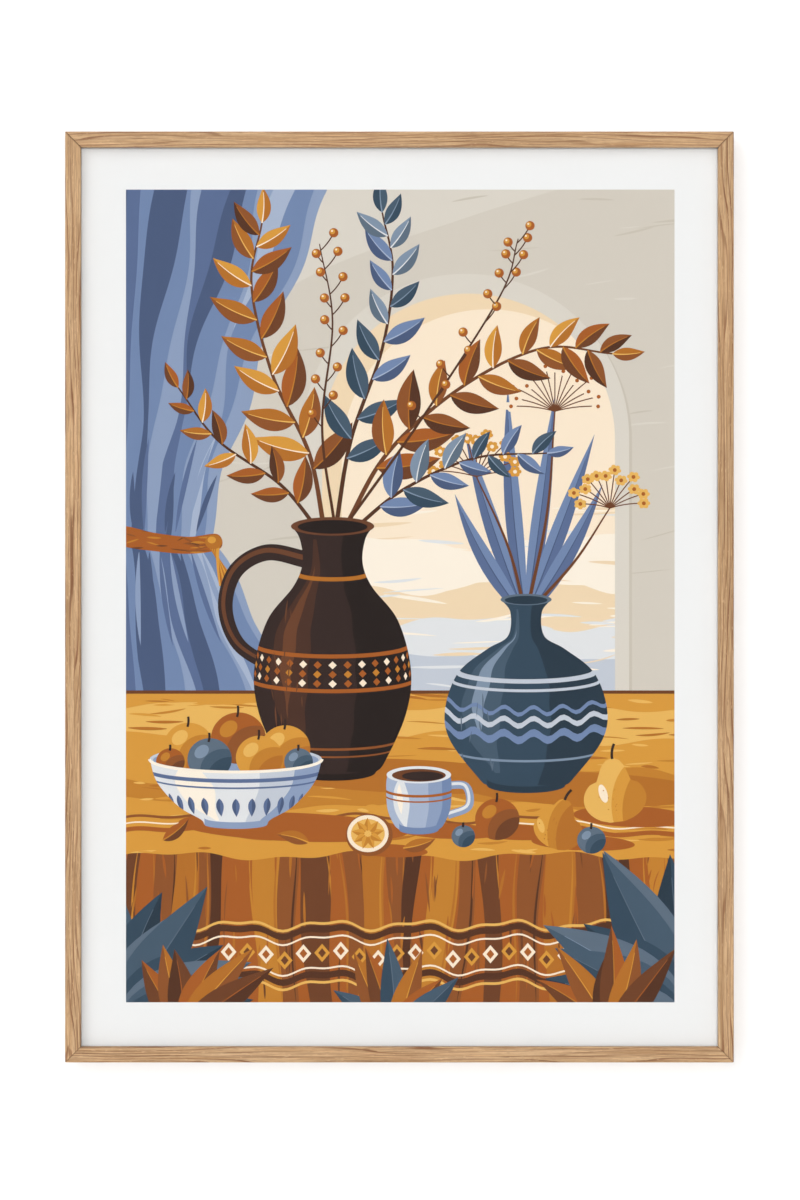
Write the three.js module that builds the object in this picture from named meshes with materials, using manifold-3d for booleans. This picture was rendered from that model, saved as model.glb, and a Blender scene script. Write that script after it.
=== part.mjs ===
// A framed portrait print: four mitred oak rails hold a clear pane, a printed sheet of 50 by 70 cm
// and a hardboard back. Bent steel points keep the back in, and two toothed hangers are riveted to it.
//
// Millimetres, +Z up, -Y towards the viewer. The origin is on the wall, on the upright centre line,
// where the nail stands under the middle notch of the upper hanger.

import * as THREE from 'three';
import { mergeVertices } from 'three/addons/utils/BufferGeometryUtils.js';
import Module from 'manifold-3d';

// Sheet format and fit
const sheetWidth = 500;
const sheetHeight = 700;
const edgePlay = 0.4; // between the sheets' edges and the rails
const gap = 0.3; // between pieces that lie face to face

// Oak moulding, an L in section
const faceWidth = 12;
const railDepth = 22;
const wallThickness = 4.6;
const lipThickness = 5;
const frontRounding = 0.9;
const backRounding = 0.4;

// Sheets, from the front
const paneThickness = 2;
const paperThickness = 0.5;
const boardThickness = 3;

// Steel points bent over the board
const pointsOnLongSide = 4;
const pointsOnShortSide = 3;
const pointWidth = 8;
const pointReach = 13;
const pointRoot = 3;
const pointThickness = 0.6;
const pointTipRadius = 2.6;
const pointShoulder = 4;

// Toothed hangers
const nailBelowTop = 38; // from the frame's upper edge to the nail
const hangerLength = 62;
const hangerWidth = 11;
const hangerThickness = 0.8;
const hangerCorner = 3;
const hangerStandOff = 4.8; // from the board to the strip's middle, room for the nail's head
const hangerFoot = 10; // flat end that lies on the board
const hangerRamp = 4;
const toothPitch = 3;
const toothTip = 0.4;
const toothCount = 11;
const toothDepth = 1.6;
const rivetRadius = 1.5;
const rivetHeadRadius = 2.8;
const rivetHeadHeight = 1.3;

// Worked out from the above
const outerWidth = sheetWidth + 2 * (edgePlay + wallThickness);
const outerHeight = sheetHeight + 2 * (edgePlay + wallThickness);
const centreZ = nailBelowTop - outerHeight / 2;
const frontY = -railDepth;
const paneFrontY = frontY + lipThickness + gap;
const paperFrontY = paneFrontY + paneThickness + gap;
const boardFrontY = paperFrontY + paperThickness + gap;
const boardBackY = boardFrontY + boardThickness;
const hangerY = boardBackY + gap;
const pointY = boardBackY + gap;

const oak = new THREE.MeshStandardMaterial({ color: 0xc39e73, roughness: 0.55, metalness: 0 });
const acrylic = new THREE.MeshStandardMaterial({
  color: 0xf4f8f8,
  roughness: 0.05,
  metalness: 0,
  transparent: true,
  opacity: 0.2,
});
const paper = new THREE.MeshStandardMaterial({ color: 0xf2f2f1, roughness: 0.8, metalness: 0 });
const hardboard = new THREE.MeshStandardMaterial({ color: 0x7a5538, roughness: 0.75, metalness: 0 });
const zincSteel = new THREE.MeshStandardMaterial({ color: 0xa9abac, roughness: 0.35, metalness: 1 });
const brassedSteel = new THREE.MeshStandardMaterial({ color: 0xb59a5c, roughness: 0.35, metalness: 1 });

const wasm = await Module();
wasm.setup();

// A closed geometry as a solid that can be cut.
function solidOf(geometry) {
  const bare = geometry.index ? geometry.toNonIndexed() : geometry.clone();
  bare.deleteAttribute('normal');
  bare.deleteAttribute('uv');
  const merged = mergeVertices(bare, 1e-4);
  return new wasm.Manifold(new wasm.Mesh({
    numProp: 3,
    vertProperties: new Float32Array(merged.attributes.position.array),
    triVerts: new Uint32Array(merged.index.array),
  }));
}

// The geometry of a solid, with flat faces.
function geometryOf(solid) {
  const mesh = solid.getMesh();
  const geometry = new THREE.BufferGeometry();
  geometry.setAttribute('position', new THREE.BufferAttribute(mesh.vertProperties, 3));
  geometry.setIndex(new THREE.BufferAttribute(mesh.triVerts, 1));
  const faceted = geometry.toNonIndexed();
  faceted.computeVertexNormals();
  return faceted;
}

function without(geometry, cutters) {
  const cut = cutters.reduce((body, cutter) => body.subtract(solidOf(cutter)), solidOf(geometry));
  return geometryOf(cut);
}

// A plate that stands upright: the outline's x is X, its y is Z, and it goes from backY forwards.
function uprightPlate(outline, thickness, backY) {
  const options = { depth: thickness, bevelEnabled: false, curveSegments: 6 };
  return new THREE.ExtrudeGeometry(outline, options).rotateX(Math.PI / 2).translate(0, backY, 0);
}

function rectangle(width, height) {
  const outline = new THREE.Shape();
  outline.moveTo(-width / 2, -height / 2);
  outline.lineTo(width / 2, -height / 2);
  outline.lineTo(width / 2, height / 2);
  outline.lineTo(-width / 2, height / 2);
  outline.closePath();
  return outline;
}

// The moulding's section. x runs from the outer side inwards, y from the wall forwards.
function mouldingSection() {
  const r = frontRounding;
  const b = backRounding;
  const lipBack = railDepth - lipThickness;
  const section = new THREE.Shape();
  section.moveTo(b, 0);
  section.lineTo(wallThickness - b, 0);
  section.lineTo(wallThickness, b);
  section.lineTo(wallThickness, lipBack);
  section.lineTo(faceWidth, lipBack);
  section.lineTo(faceWidth, railDepth - r);
  section.absarc(faceWidth - r, railDepth - r, r, 0, Math.PI / 2, false);
  section.lineTo(r, railDepth);
  section.absarc(r, railDepth - r, r, Math.PI / 2, Math.PI, false);
  section.lineTo(0, b);
  section.closePath();
  return section;
}

// One rail, centred on its length along X with its outer side up. Each end is cut at 45 degrees,
// so a point of the section stops short of the outer corner by its own distance from the outer side.
function railGeometry(length) {
  const options = { depth: 1, bevelEnabled: false, curveSegments: 4 };
  const geometry = new THREE.ExtrudeGeometry(mouldingSection(), options);
  const place = geometry.attributes.position;
  const endGap = (gap / 2) * Math.SQRT2;
  for (let i = 0; i < place.count; i++) {
    const inward = place.getX(i);
    const forward = place.getY(i);
    const end = Math.sign(place.getZ(i) - 0.5);
    place.setXYZ(i, -end * (length / 2 - endGap - inward), -forward, -inward);
  }
  return geometry;
}

// A bent steel point, lying flat. It comes out of the rail along X from x = 0, and its root is in the rail.
function pointOutline(extra) {
  const half = pointWidth / 2 + extra;
  const outline = new THREE.Shape();
  outline.moveTo(-pointRoot - extra, -half);
  outline.lineTo(pointShoulder, -half);
  outline.lineTo(pointReach - pointTipRadius, -pointTipRadius);
  outline.absarc(pointReach - pointTipRadius, 0, pointTipRadius, -Math.PI / 2, Math.PI / 2, false);
  outline.lineTo(pointShoulder, half);
  outline.lineTo(-pointRoot - extra, half);
  outline.closePath();
  return outline;
}

// The rail's slot round the root of a point, larger by the gap on every side.
function pointSlot() {
  const slot = new THREE.BoxGeometry(pointRoot + 2 * gap, pointThickness + 2 * gap, pointWidth + 2 * gap);
  return slot.translate(-pointRoot / 2, pointY + pointThickness / 2, 0);
}

// The strip of a hanger from the side, bent so that its middle stands off the board.
function hangerSection() {
  const t = hangerThickness;
  const end = hangerLength / 2;
  const foot = end - hangerFoot;
  const top = foot - hangerRamp;
  const rise = hangerStandOff - gap;
  const section = new THREE.Shape();
  section.moveTo(-end, 0);
  section.lineTo(-foot, 0);
  section.lineTo(-top, rise);
  section.lineTo(top, rise);
  section.lineTo(foot, 0);
  section.lineTo(end, 0);
  section.lineTo(end, t);
  section.lineTo(foot + t / 2, t);
  section.lineTo(top + t / 2, rise + t);
  section.lineTo(-top - t / 2, rise + t);
  section.lineTo(-foot - t / 2, t);
  section.lineTo(-end, t);
  section.closePath();
  return section;
}

const hangerMiddleZ = hangerWidth / 2 - toothDepth;

function rivetPlaces() {
  const x = hangerLength / 2 - hangerFoot / 2;
  return [-x, x];
}

// The strip from behind: round corners, rivet holes, and a toothed lower edge
// with the apex of its middle notch at the origin.
function hangerOutline() {
  const x = hangerLength / 2 - hangerCorner;
  const low = -toothDepth;
  const high = hangerWidth - toothDepth;
  const notchHalf = (toothPitch - toothTip) / 2;
  const outline = new THREE.Shape();
  outline.moveTo(-x, low);
  for (let k = 0; k < toothCount; k++) {
    const apex = (k - (toothCount - 1) / 2) * toothPitch;
    outline.lineTo(apex - notchHalf, low);
    outline.lineTo(apex, 0);
    outline.lineTo(apex + notchHalf, low);
  }
  outline.absarc(x, low + hangerCorner, hangerCorner, -Math.PI / 2, 0, false);
  outline.absarc(x, high - hangerCorner, hangerCorner, 0, Math.PI / 2, false);
  outline.absarc(-x, high - hangerCorner, hangerCorner, Math.PI / 2, Math.PI, false);
  outline.absarc(-x, low + hangerCorner, hangerCorner, Math.PI, 1.5 * Math.PI, false);
  for (const place of rivetPlaces()) {
    const hole = new THREE.Path();
    hole.absarc(place, hangerMiddleZ, rivetRadius + gap, 0, 2 * Math.PI, true);
    outline.holes.push(hole);
  }
  return outline;
}

function hangerGeometry() {
  const strip = new THREE.ExtrudeGeometry(hangerSection(), { depth: 2 * hangerWidth, bevelEnabled: false });
  strip.translate(0, hangerY, -hangerWidth / 2);
  const through = 4 * hangerStandOff;
  const plate = uprightPlate(hangerOutline(), through, hangerY + through / 2);
  return geometryOf(solidOf(strip).intersect(solidOf(plate)));
}

// A rivet through foot and board, its round head on the foot.
function rivetGeometry() {
  const headY = hangerY + hangerThickness + gap;
  const points = [new THREE.Vector2(0, boardFrontY), new THREE.Vector2(rivetRadius, boardFrontY)];
  points.push(new THREE.Vector2(rivetRadius, headY));
  const steps = 6;
  for (let k = 0; k < steps; k++) {
    const turn = (k / steps) * (Math.PI / 2);
    const rise = rivetHeadHeight * Math.sin(turn);
    points.push(new THREE.Vector2(rivetHeadRadius * Math.cos(turn), headY + rise));
  }
  points.push(new THREE.Vector2(0, headY + rivetHeadHeight));
  return new THREE.LatheGeometry(points, 20);
}

// The four sides, each with the turn about Y that takes its outward direction from up to where it is.
const shortSide = { length: outerWidth, reach: outerHeight / 2, points: pointsOnShortSide };
const longSide = { length: outerHeight, reach: outerWidth / 2, points: pointsOnLongSide };
const sides = [
  { name: 'top', turn: 0, ...shortSide },
  { name: 'right', turn: Math.PI / 2, ...longSide },
  { name: 'bottom', turn: Math.PI, ...shortSide },
  { name: 'left', turn: -Math.PI / 2, ...longSide },
];

// Places along a side where points are driven in, evenly spread.
function pointPlaces(side) {
  const inside = side.length - 2 * faceWidth;
  return Array.from({ length: side.points }, (_, k) => ((k + 0.5) / side.points - 0.5) * inside);
}

const framedPrint = new THREE.Group();
const frameMiddle = new THREE.Group();
frameMiddle.position.set(0, 0, centreZ);
framedPrint.add(frameMiddle);

function add(parent, name, geometry, material) {
  const mesh = new THREE.Mesh(geometry, material);
  mesh.name = name;
  parent.add(mesh);
  return mesh;
}

for (const side of sides) {
  const group = new THREE.Group();
  group.rotation.y = side.turn;
  frameMiddle.add(group);

  const outer = new THREE.Group();
  outer.position.z = side.reach;
  group.add(outer);
  const places = pointPlaces(side);
  const slots = places.map((x) => pointSlot().rotateY(Math.PI / 2).translate(x, 0, -wallThickness));
  add(outer, `rail_${side.name}`, without(railGeometry(side.length), slots), oak);

  places.forEach((x, k) => {
    const point = uprightPlate(pointOutline(0), pointThickness, pointY + pointThickness);
    point.rotateY(Math.PI / 2).translate(x, 0, -wallThickness);
    add(outer, `point_${side.name}_${k + 1}`, point, zincSteel);
  });
}

const pane = new THREE.BoxGeometry(sheetWidth, paneThickness, sheetHeight);
add(frameMiddle, 'pane', pane.translate(0, paneFrontY + paneThickness / 2, 0), acrylic);

const sheetOutline = rectangle(sheetWidth, sheetHeight);
const paperBackY = paperFrontY + paperThickness;
add(frameMiddle, 'printed_sheet', uprightPlate(sheetOutline, paperThickness, paperBackY), paper);

// Each hanger hangs below the middle of the edge that is uppermost when it is in use.
const hangers = [
  { name: 'portrait', turn: 0, reach: outerHeight / 2 - nailBelowTop },
  { name: 'landscape', turn: Math.PI / 2, reach: outerWidth / 2 - nailBelowTop },
];
const rivetHoles = [];
for (const hanger of hangers) {
  const group = new THREE.Group();
  group.rotation.y = hanger.turn;
  frameMiddle.add(group);
  const notch = new THREE.Group();
  notch.position.z = hanger.reach;
  group.add(notch);
  add(notch, `hanger_${hanger.name}`, hangerGeometry(), brassedSteel);
  rivetPlaces().forEach((x, k) => {
    const rivet = add(notch, `rivet_${hanger.name}_${k + 1}`, rivetGeometry(), brassedSteel);
    rivet.position.set(x, 0, hangerMiddleZ);
    const hole = new THREE.CylinderGeometry(rivetRadius + gap, rivetRadius + gap, 3 * boardThickness, 16);
    hole.translate(x, boardFrontY, hanger.reach + hangerMiddleZ).rotateY(hanger.turn);
    rivetHoles.push(hole);
  });
}

const board = uprightPlate(sheetOutline, boardThickness, boardBackY);
add(frameMiddle, 'back_board', without(board, rivetHoles), hardboard);

export default framedPrint;
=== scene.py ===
import math
import bpy
import numpy as np
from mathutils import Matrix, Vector
from mathutils.geometry import delaunay_2d_cdt


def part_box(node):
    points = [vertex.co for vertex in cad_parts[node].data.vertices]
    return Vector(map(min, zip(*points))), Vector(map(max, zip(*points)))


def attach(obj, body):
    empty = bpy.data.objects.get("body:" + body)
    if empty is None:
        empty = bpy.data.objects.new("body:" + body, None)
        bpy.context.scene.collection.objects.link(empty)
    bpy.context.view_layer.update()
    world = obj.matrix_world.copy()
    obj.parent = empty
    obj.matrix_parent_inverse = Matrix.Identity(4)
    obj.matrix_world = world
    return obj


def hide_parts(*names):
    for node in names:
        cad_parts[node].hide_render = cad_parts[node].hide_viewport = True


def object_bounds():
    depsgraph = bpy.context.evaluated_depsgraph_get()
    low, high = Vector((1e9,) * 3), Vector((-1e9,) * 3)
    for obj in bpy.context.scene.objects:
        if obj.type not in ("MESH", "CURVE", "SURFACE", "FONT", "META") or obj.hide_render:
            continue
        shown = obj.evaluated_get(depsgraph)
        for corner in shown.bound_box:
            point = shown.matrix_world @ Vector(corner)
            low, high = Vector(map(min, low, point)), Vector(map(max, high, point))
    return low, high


# A framed print on a wall. The frame's long side is Z, the print faces -Y and the wall is the plane Y = 0.
# Lengths are metres, apart from the artwork's, which are millimetres from the picture's lower left corner.

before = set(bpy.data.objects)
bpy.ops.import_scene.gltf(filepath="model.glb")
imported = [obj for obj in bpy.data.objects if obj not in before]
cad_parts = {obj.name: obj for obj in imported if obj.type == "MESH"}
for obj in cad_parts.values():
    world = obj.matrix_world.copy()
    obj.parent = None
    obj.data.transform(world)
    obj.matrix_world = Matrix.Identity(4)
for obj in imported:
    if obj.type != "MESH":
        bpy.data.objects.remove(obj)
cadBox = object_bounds()
mm = 0.001

low, high = (np.array(side) for side in cadBox)
outer = high - low   # the frame's outer width, depth and height
middleX, middleZ = (low[0] + high[0]) / 2, (low[2] + high[2]) / 2
scene = bpy.context.scene


# Helpers for node materials. Those without a tree find it from the sockets that they are given.

def plug(socket, value):
    # a number, a colour or another node's output into an input
    if isinstance(value, bpy.types.NodeSocket):
        socket.id_data.links.new(value, socket)
    elif isinstance(value, tuple) and len(value) < len(socket.default_value):
        socket.default_value = (*value, 1)
    else:
        socket.default_value = value


def node(tree, kind, **settings):
    # a setting is one of the node's inputs or else its own property
    made = tree.nodes.new(kind)
    for key, value in settings.items():
        if key in made.inputs:
            plug(made.inputs[key], value)
        else:
            setattr(made, key, value)
    return made


def joining(kind, values, places=(0, 1, 2), **settings):
    # a node with the values in its inputs at those places
    tree = next(value.id_data for value in values if isinstance(value, bpy.types.NodeSocket))
    made = node(tree, kind, **settings)
    for place, value in zip(places, values):
        plug(made.inputs[place], value)
    return made.outputs


def times(a, b, plus=0.0):
    # a b + plus
    return joining("ShaderNodeMath", (a, b, plus), operation="MULTIPLY_ADD")[0]


def mixColours(share, a, b, blend="MIX"):
    # a where the share is 0 and b where it is 1, or their product
    return joining("ShaderNodeMix", (share, a, b), (0, 6, 7), data_type="RGBA", blend_type=blend)[2]


def mixShaders(share, a, b):
    # a where the share is 0 and b where it is 1
    return joining("ShaderNodeMixShader", (share, a.outputs[0], b.outputs[0]))[0]


def ramp(value, *stops):
    # each stop is a place and a grey or a colour
    made = node(value.id_data, "ShaderNodeValToRGB", Fac=value)
    elements = made.color_ramp.elements
    while len(elements) < len(stops):
        elements.new(0.5)
    for element, (place, colour) in zip(elements, stops):
        element.position = place
        element.color = (*colour, 1) if isinstance(colour, tuple) else (colour, colour, colour, 1)
    return made.outputs["Color"]


def noise(place, scale, detail=2.0, roughness=0.5, output="Fac"):
    # noise with 1 / scale millimetres to a feature
    settings = {"Vector": place, "Scale": scale, "Detail": detail, "Roughness": roughness}
    return node(place.id_data, "ShaderNodeTexNoise", **settings).outputs[output]


def objectMillimetres(tree, order="XYZ", stretch=(1, 1, 1), shift=(0, 0, 0)):
    # object coordinates in millimetres, their axes reordered, moved and then scaled
    parts = node(tree, "ShaderNodeSeparateXYZ", Vector=node(tree, "ShaderNodeTexCoord").outputs["Object"])
    joined = node(tree, "ShaderNodeCombineXYZ")
    for k, axis in enumerate(order):
        moved = times(parts.outputs[axis], 1 / mm, float(shift[k]))
        plug(joined.inputs[k], times(moved, float(stretch[k])))
    return joined.outputs[0]


def bumpFrom(shader, height, strength, distance):
    # the shader's normal from a height between 0 and 1, which stands for the distance
    made = node(shader.id_data, "ShaderNodeBump", Height=height, Strength=strength, Distance=distance)
    plug(shader.inputs["Normal"], made.outputs[0])


def newMaterial(name, baseColour, roughness, metallic=0.0):
    # a plain material, its node tree and its Principled shader
    material = bpy.data.materials.new(name)
    material.use_nodes = True
    shader = material.node_tree.nodes["Principled BSDF"]
    plug(shader.inputs["Base Color"], baseColour)
    plug(shader.inputs["Roughness"], roughness)
    plug(shader.inputs["Metallic"], metallic)
    return material, material.node_tree, shader


def linear(hexColour):
    # sRGB to linear: ((c + 0.055) / 1.055)^2.4 above 0.04045
    c = np.array([int(hexColour[k:k + 2], 16) for k in (0, 2, 4)]) / 255
    return tuple(float(v) for v in np.where(c > 0.04045, ((c + 0.055) / 1.055) ** 2.4, c / 12.92))


# Meshes from arrays

def boxOf(nodeName):
    # a CAD node's lowest and highest corners, and its middle
    lowest, highest = (np.array(side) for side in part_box(nodeName))
    return lowest, highest, (lowest + highest) / 2


def pieceFrom(name, replaced, points, faces, materials, smoothDegrees=None, slots=None):
    # a visible piece in the place of one CAD node. Edges sharper than smoothDegrees stay sharp.
    mesh = bpy.data.meshes.new(name)
    mesh.from_pydata(np.asarray(points, float).tolist(), [], faces)
    for material in materials:
        mesh.materials.append(material)
    if slots is not None:
        mesh.polygons.foreach_set("material_index", np.asarray(slots, np.int32))
    mesh.update()
    if smoothDegrees is not None:
        mesh.polygons.foreach_set("use_smooth", np.ones(len(mesh.polygons), bool))
        mesh.set_sharp_from_angle(angle=math.radians(smoothDegrees))
    piece = bpy.data.objects.new(name, mesh)
    scene.collection.objects.link(piece)
    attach(piece, "root")
    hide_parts(replaced)
    return mesh


def gridFaces(rows, columns):
    # quads of a grid of points whose columns run round
    r, c = np.meshgrid(np.arange(rows - 1), np.arange(columns), indexing="ij")
    d = (c + 1) % columns
    quads = np.stack([r * columns + c, r * columns + d, (r + 1) * columns + d, (r + 1) * columns + c], -1)
    return quads.reshape(-1, 4)


def arc(x, y, radius, start, end, count):
    # points on a circle between two angles in degrees
    a = np.radians(np.linspace(start, end, count))
    return np.column_stack([x + radius * np.cos(a), y + radius * np.sin(a)])


# Oak rails

oak = {
    "face": 12 * mm,        # width of the front
    "wall": 4.6 * mm,       # thickness of the outer wall
    "lip": 5 * mm,          # thickness of the part in front of the pane
    "frontRounding": 0.9 * mm,
    "backRounding": 0.4 * mm,
    "flatEdge": 0.3 * mm,   # a point this far past each rounding keeps the sides flat in the shading
    "steps": 160,           # rows of points from mitre to mitre
    "mitreGap": 0.12 * mm,
    "mitreRows": (0.0, 0.1, 0.3, 0.8, 2.4),     # mm from the cut
    "mitreDip": (0.24, 0.15, 0.03, 0.0, 0.0),   # mm that the edges of the cut are eased
    # end-grain stain and painted joint shade beside each cut, row by row
    "mitreStain": (1.0, 0.85, 0.40, 0.12, 0.0),
    "lowerStainAndShade": 0.4,      # share of the mitres' stain and painted shade that shows at the lower corners; the upper corners carry the full painted shade
    # how fast each noise runs along the grain, across the rail and into it, for a millimetre
    "slow": (0.0042, 0.05, 0.05),
    "streak": (0.013, 0.75, 0.75),
    "fibre": (0.045, 2.4, 2.4),
    "pores": (0.14, 4.2, 4.2),
    "rays": (0.20, 0.9, 2.6),
    "ringSpacing": 3.5,     # mm
    "ringSway": 30.0,       # mm that the slow noise bends the growth rings
    "ringWaver": 1.6,       # mm that the streaks do
    "ringDepth": 0.90,      # shares of each mark's own colour
    "lineDepth": 0.55,
    "poreDepth": 0.55,
    "rayDepth": 0.35,
    "stainAndShadeDepth": 0.75,
    "relief": 0.06 * mm,
    "light": "DAB890",
    "middle": "BD966C",
    "dark": "835434",
    "deep": "6F4327",
    "pore": "613B22",
}


def railSection():
    # x is the distance from the rail's outer side, y the distance from the wall
    depth, r, b, near = outer[1], oak["frontRounding"], oak["backRounding"], oak["flatEdge"]
    face, wall, lipBack = oak["face"], oak["wall"], depth - oak["lip"]
    corners = [
        arc(b, b, b, 180, 270, 5)[1:],
        [(b + near, 0), (wall - b - near, 0)],
        arc(wall - b, b, b, 270, 360, 5),
        [(wall, b + near), (wall, lipBack / 2)],
        [(wall, lipBack - 0.1 * mm), (wall, lipBack), (wall + 0.1 * mm, lipBack)],
        arc(face - b, lipBack + b, b, 270, 360, 5),
        [(face, lipBack + b + near), (face, depth - r - near)],
        arc(face - r, depth - r, r, 0, 90, 8),
        [(face - r - near, depth), (face / 2, depth), (r + near, depth)],
        arc(r, depth - r, r, 90, 180, 8),
        [(0, depth - r - near), (0, depth / 2), (0, b + near), (0, b)],
    ]
    return np.vstack([np.asarray(part, float) for part in corners])


def railMap(mesh, rows, section, length):
    # the long strip is cut into three, laid side by side, so that the grain gets more of the map
    closed = np.vstack([section, section[:1]])
    girth = np.concatenate([[0], np.cumsum(np.linalg.norm(np.diff(closed, axis=0), axis=1))])
    room = 2 * mm
    pitch = girth[-1] + room
    size = max(length / 3 + 16 * mm, 3 * pitch + room)
    column = np.tile(np.arange(len(section)), rows - 1)
    row = np.repeat(np.arange(rows - 1), len(section))
    third = row * 3 // (rows - 1)
    corners = []
    for dr, dc in ((1, 0), (1, 1), (0, 1), (0, 0)):
        along = (row + dr) / (rows - 1) * length - third * length / 3
        corners.append(np.column_stack([along + room, girth[column + dc] + third * pitch + room]))
    sides = np.stack(corners, 1).reshape(-1, 2)
    beside = (length / 3 + 2 * room, room)
    caps = np.vstack([section + beside, section[::-1] + beside + (0, outer[1] + room)])
    mesh.uv_layers.new(name="OFBake").data.foreach_set("uv", (np.vstack([sides, caps]) / size).ravel())


def oakMaterial(name, order, shift, tone):
    # order names the axes along the grain, across the rail and into it
    material, tree, shader = newMaterial(name, linear(oak["middle"]), 0.5)
    slow, streak, fibre, pores, rays = (objectMillimetres(tree, order, oak[key], shift)
                                        for key in ("slow", "streak", "fibre", "pores", "rays"))
    light, middle, dark, deep = (tuple(np.array(linear(oak[key])) * tone)
                                 for key in ("light", "middle", "dark", "deep"))

    # growth rings: the fraction of (across + 0.42 depth + noises) / spacing, darkest near its end
    place = node(tree, "ShaderNodeSeparateXYZ", Vector=objectMillimetres(tree, order, (1, 1, 1), shift))
    across = times(place.outputs[2], 0.42, place.outputs[1])
    across = times(noise(slow, 1.0), oak["ringSway"], across)
    across = times(noise(streak, 0.5, 3.0), oak["ringWaver"], across)
    ring = joining("ShaderNodeMath", (across, oak["ringSpacing"]), operation="DIVIDE")[0]
    ring = joining("ShaderNodeMath", (ring,), operation="FRACT")[0]
    late = ramp(ring, (0.0, 0.0), (0.45, 0.06), (0.72, 0.34), (0.84, 1.0), (0.95, 1.0), (1.0, 0.0))
    lateMask = times(late, ramp(noise(slow, 2.6), (0.34, 0.22), (0.60, 1.0)))

    colour = mixColours(ramp(noise(streak, 1.0, 4.0, 0.62), (0.36, 0.0), (0.64, 1.0)), light, middle)
    colour = mixColours(times(lateMask, oak["ringDepth"]), colour, dark)
    fine = ramp(noise(fibre, 1.0, 3.0, 0.65), (0.32, (0.72, 0.69, 0.65)), (0.68, 1.14))
    drift = ramp(noise(slow, 1.2, 1.0), (0.35, (0.92, 0.91, 0.89)), (0.65, 1.06))
    colour = mixColours(1.0, mixColours(1.0, colour, fine, "MULTIPLY"), drift, "MULTIPLY")

    # dark lines along the grain, open pores, thickest in the early wood, and pale ray flecks
    lines = ramp(noise(streak, 1.9), (0.58, 0.0), (0.66, 1.0))
    colour = mixColours(times(lines, oak["lineDepth"]), colour, deep)
    poreMask = times(ramp(noise(pores, 1.0, 1.5), (0.60, 0.0), (0.70, 1.0)), times(late, -0.7, 1.0))
    colour = mixColours(times(poreMask, oak["poreDepth"]), colour, linear(oak["pore"]))
    rayMask = ramp(noise(rays, 1.0, 1.0), (0.66, 0.0), (0.72, 1.0))
    colour = mixColours(times(rayMask, oak["rayDepth"]), colour, tuple(np.array(light) * 1.12))

    # the cut ends of the fibres drink more oil, so they are darker; the same mask also paints the mitre
    # joints' shade, strongest at the upper corners
    cut = node(tree, "ShaderNodeAttribute", attribute_name="mitreStain")
    colour = mixColours(times(cut.outputs["Fac"], oak["stainAndShadeDepth"]), colour, linear(oak["pore"]))
    plug(shader.inputs["Base Color"], colour)
    plug(shader.inputs["Roughness"], times(lateMask, -0.06, times(poreMask, 0.22, 0.46)))
    height = times(poreMask, -1.0, times(noise(fibre, 1.0, 3.0), 0.5))
    bumpFrom(shader, times(lateMask, 0.25, height), 0.5, oak["relief"])
    return material


def mitreEnds(rows):
    # a value for every row, out of those for the rows next to the two cuts
    ends = np.asarray(rows)
    return np.concatenate([ends, np.zeros(oak["steps"] - 2 * len(ends)), ends[::-1]])


def rail(name, nodeName, turn, length, reach, material):
    # the section carried from mitre to mitre: a point at x in the section stops x short of the corner.
    # The first and last rows are eased along the section's normal.
    section = railSection()
    steps, count = oak["steps"], len(section)
    tangent = np.roll(section, -1, axis=0) - np.roll(section, 1, axis=0)
    normal = np.column_stack([tangent[:, 1], -tangent[:, 0]]) / np.linalg.norm(tangent, axis=1)[:, None]
    eased = section[None] - mitreEnds(oak["mitreDip"])[:, None, None] * mm * normal[None]
    halfLength = length / 2 - oak["mitreGap"] / 2 * math.sqrt(2) - section[:, 0]
    near = np.asarray(oak["mitreRows"]) * mm
    between = np.linspace(-1, 1, steps - 2 * len(near) + 2)[1:-1, None]
    x = np.vstack([near[:, None] - halfLength, between * (halfLength - near[-1]),
                   halfLength - near[::-1, None]])
    y, z = -eased[..., 1], reach - eased[..., 0]
    c, s = math.cos(turn), math.sin(turn)
    points = np.stack([middleX + x * c + z * s, y, middleZ - x * s + z * c], -1).reshape(-1, 3)
    faces = gridFaces(steps, count)[:, ::-1].tolist()
    first, last = list(range(count)), list(range((steps - 1) * count, steps * count))
    mesh = pieceFrom(name, nodeName, points, faces + [first, last[::-1]], [material], 30)
    # end-grain stain with painted shade at the mitres: full at the upper corners, a smaller share at the
    # lower ones
    stainAndShade = np.repeat(mitreEnds(oak["mitreStain"]), count)
    stainAndShade = stainAndShade * np.where(points[:, 2] > middleZ, 1, oak["lowerStainAndShade"])
    mesh.attributes.new("mitreStain", "FLOAT", "POINT").data.foreach_set("value", stainAndShade)
    railMap(mesh, steps, section, length)


# name, CAD node, turn about Y, length, distance from the middle, grain's axes, grain's shift in mm, tone
rails = (
    ("oakTop", "rail_top", 0.0, outer[0], outer[2] / 2, "XZY", (11, 3, 7), 1.00),
    ("oakRight", "rail_right", math.pi / 2, outer[2], outer[0] / 2, "ZXY", (93, 41, 19), 0.96),
    ("oakBottom", "rail_bottom", math.pi, outer[0], outer[2] / 2, "XZY", (307, 77, 31), 0.97),
    ("oakLeft", "rail_left", -math.pi / 2, outer[2], outer[0] / 2, "ZXY", (511, 113, 53), 1.01),
)
for name, nodeName, turn, length, reach, order, shift, tone in rails:
    rail(name, nodeName, turn, length, reach, oakMaterial(name, order, shift, tone))
print("rails", len(rails))


# The artwork: shapes painted one over another, in millimetres

picture = {
    "width": 419.5,
    "height": 621.5,
    "seed": 41,
    "tableBack": 236.0,              # heights above the picture's lower edge
    "tableFront": 112.0,
    "drapeTie": 352.0,
    "arch": (262, 232, 430, 112),    # middle, sill, height where its round part starts, half width
    "jug": (158, 176),               # the middle of each vessel's foot
    "vase": (306, 166),
    "bowl": (84, 136),
    "cup": (224, 132),
    "halfFruit": (186, 128, 18),     # middle and radius
}

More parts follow.
